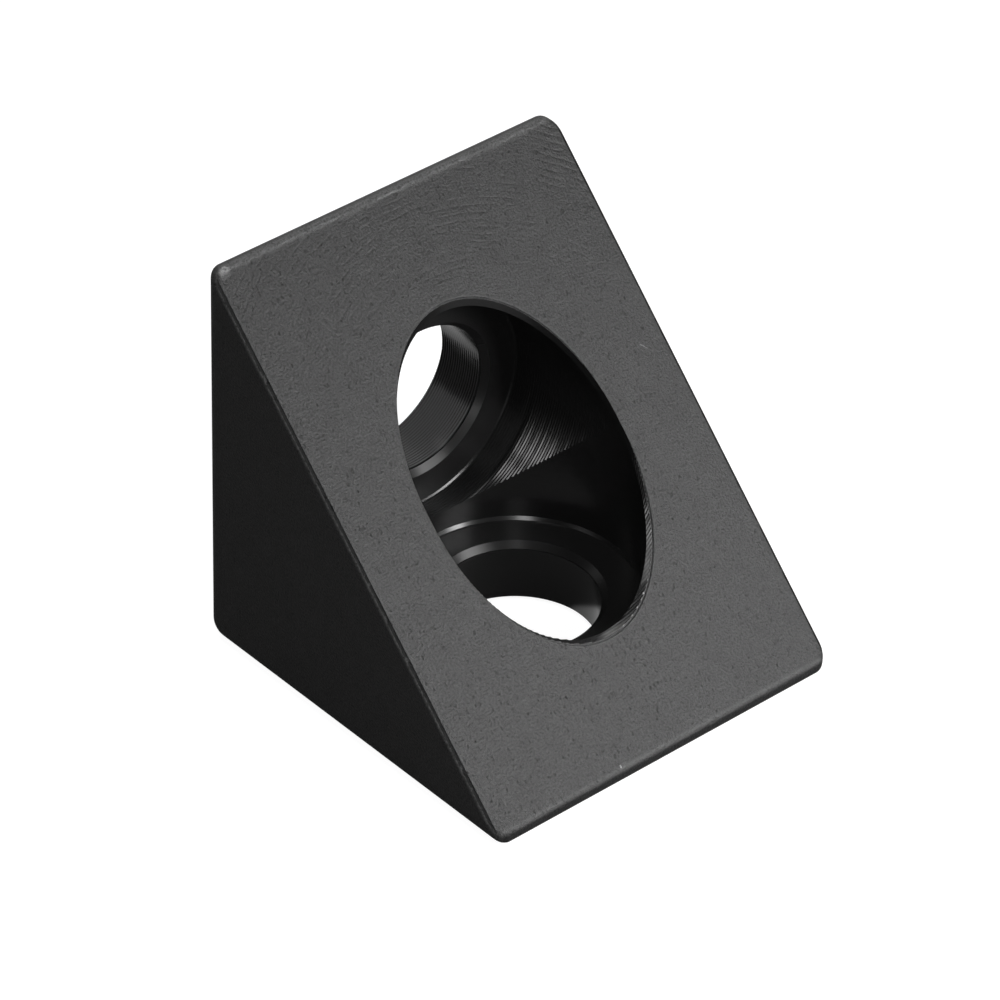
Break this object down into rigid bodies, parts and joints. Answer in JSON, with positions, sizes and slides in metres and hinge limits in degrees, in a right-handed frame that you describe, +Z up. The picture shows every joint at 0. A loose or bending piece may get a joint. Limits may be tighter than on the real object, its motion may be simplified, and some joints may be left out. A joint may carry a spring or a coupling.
{
  "type": "t-slot corner bracket",
  "caption": "Solid right-angle corner bracket for T-slot framing, with a sloping face and counterbored screw holes in both legs.",
  "frame": {"origin": "where the base screw's axis meets the base mounting face, which is also the middle of the base", "axes": "+Z up, away from the base mounting face; -X out of the upright mounting face; Y across the bracket's width"},
  "size_m": [0.02, 0.02, 0.02],
  "materials": {
    "black_anodised": "blasted and black anodised, satin"
  },
  "bodies": {
    "root": {"corner_bracket": "black_anodised"}
  },
  "joints": []
}
